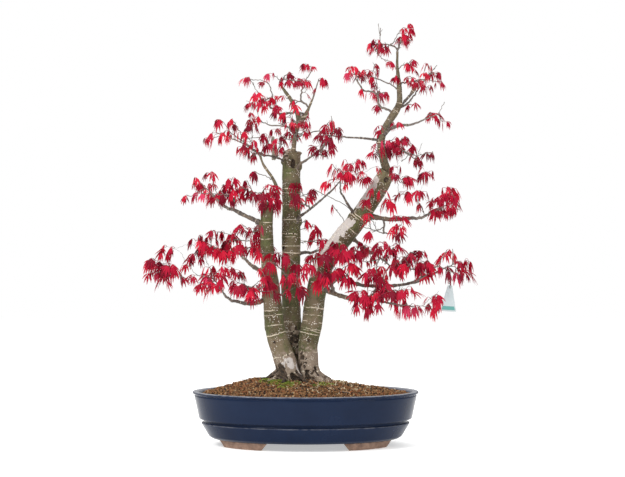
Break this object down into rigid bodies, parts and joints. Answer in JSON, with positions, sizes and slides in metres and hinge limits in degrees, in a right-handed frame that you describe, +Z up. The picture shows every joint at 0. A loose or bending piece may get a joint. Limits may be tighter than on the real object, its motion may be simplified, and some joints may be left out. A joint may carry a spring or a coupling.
{
  "type": "potted maple bonsai",
  "caption": "Bonsai maple clump with bent cut-back trunks, thin leaders, open red foliage and a blank label, in a shallow oval glazed pot on feet.",
  "frame": {"origin": "middle of the whole object's plan, on the plane that the pot's feet stand on", "axes": "+X to the viewer's right along the pot's long side, +Y away from the viewer along its short side, +Z up"},
  "size_m": [0.7596, 0.4, 0.9664],
  "materials": {
    "glaze": "gloss",
    "clay": "matte",
    "soil": "matte",
    "bark": "matte",
    "young_bark": "matte",
    "deadwood": "matte",
    "leaves": "satin",
    "tag": "satin"
  },
  "bodies": {
    "root": {"bough_centre_back": "young_bark", "bough_centre_back_right": "young_bark", "bough_centre_front": "young_bark", "bough_centre_left": "young_bark", "bough_centre_right": "young_bark", "bough_centre_right_high": "young_bark", "bough_far_right": "young_bark", "bough_leader_left": "young_bark", "bough_leader_right": "young_bark", "bough_leader_right_low": "young_bark", "bough_left_high": "young_bark", "bough_left_low": "young_bark", "bough_left_middle": "young_bark", "bough_right_fork": "young_bark", "bough_right_low": "young_bark", "bough_right_low_back": "young_bark", "bough_right_reach": "young_bark", "bough_top_right": "young_bark", "foliage_centre_back": "leaves", "foliage_centre_back_right": "leaves", "foliage_centre_front": "leaves", "foliage_centre_left": "leaves", "foliage_centre_right": "leaves", "foliage_centre_right_high": "leaves", "foliage_crown": "leaves", "foliage_crown_left": "leaves", "foliage_crown_low": "leaves", "foliage_far_right": "leaves", "foliage_leader_right": "leaves", "foliage_leader_right_low": "leaves", "foliage_left_front": "leaves", "foliage_left_high": "leaves", "foliage_left_inner": "leaves", "foliage_left_low": "leaves", "foliage_left_low_tip": "leaves", "foliage_left_middle": "leaves", "foliage_right_front": "leaves", "foliage_right_low": "leaves", "foliage_right_low_back": "leaves", "foliage_right_middle": "leaves", "foliage_right_reach": "leaves", "foliage_right_top_left": "leaves", "foliage_right_upper": "leaves", "foliage_top": "leaves", "foliage_top_left": "leaves", "foliage_top_right": "leaves", "foot_back_left": "clay", "foot_back_right": "clay", "foot_front_left": "clay", "foot_front_right": "clay", "leader_centre": "young_bark", "leader_left": "young_bark", "leader_right": "young_bark", "pot": "glaze", "snag": "deadwood", "soil": "soil", "tag": "tag", "trunk_centre": "bark", "trunk_left": "bark", "trunk_right": "bark"}
  },
  "joints": []
}
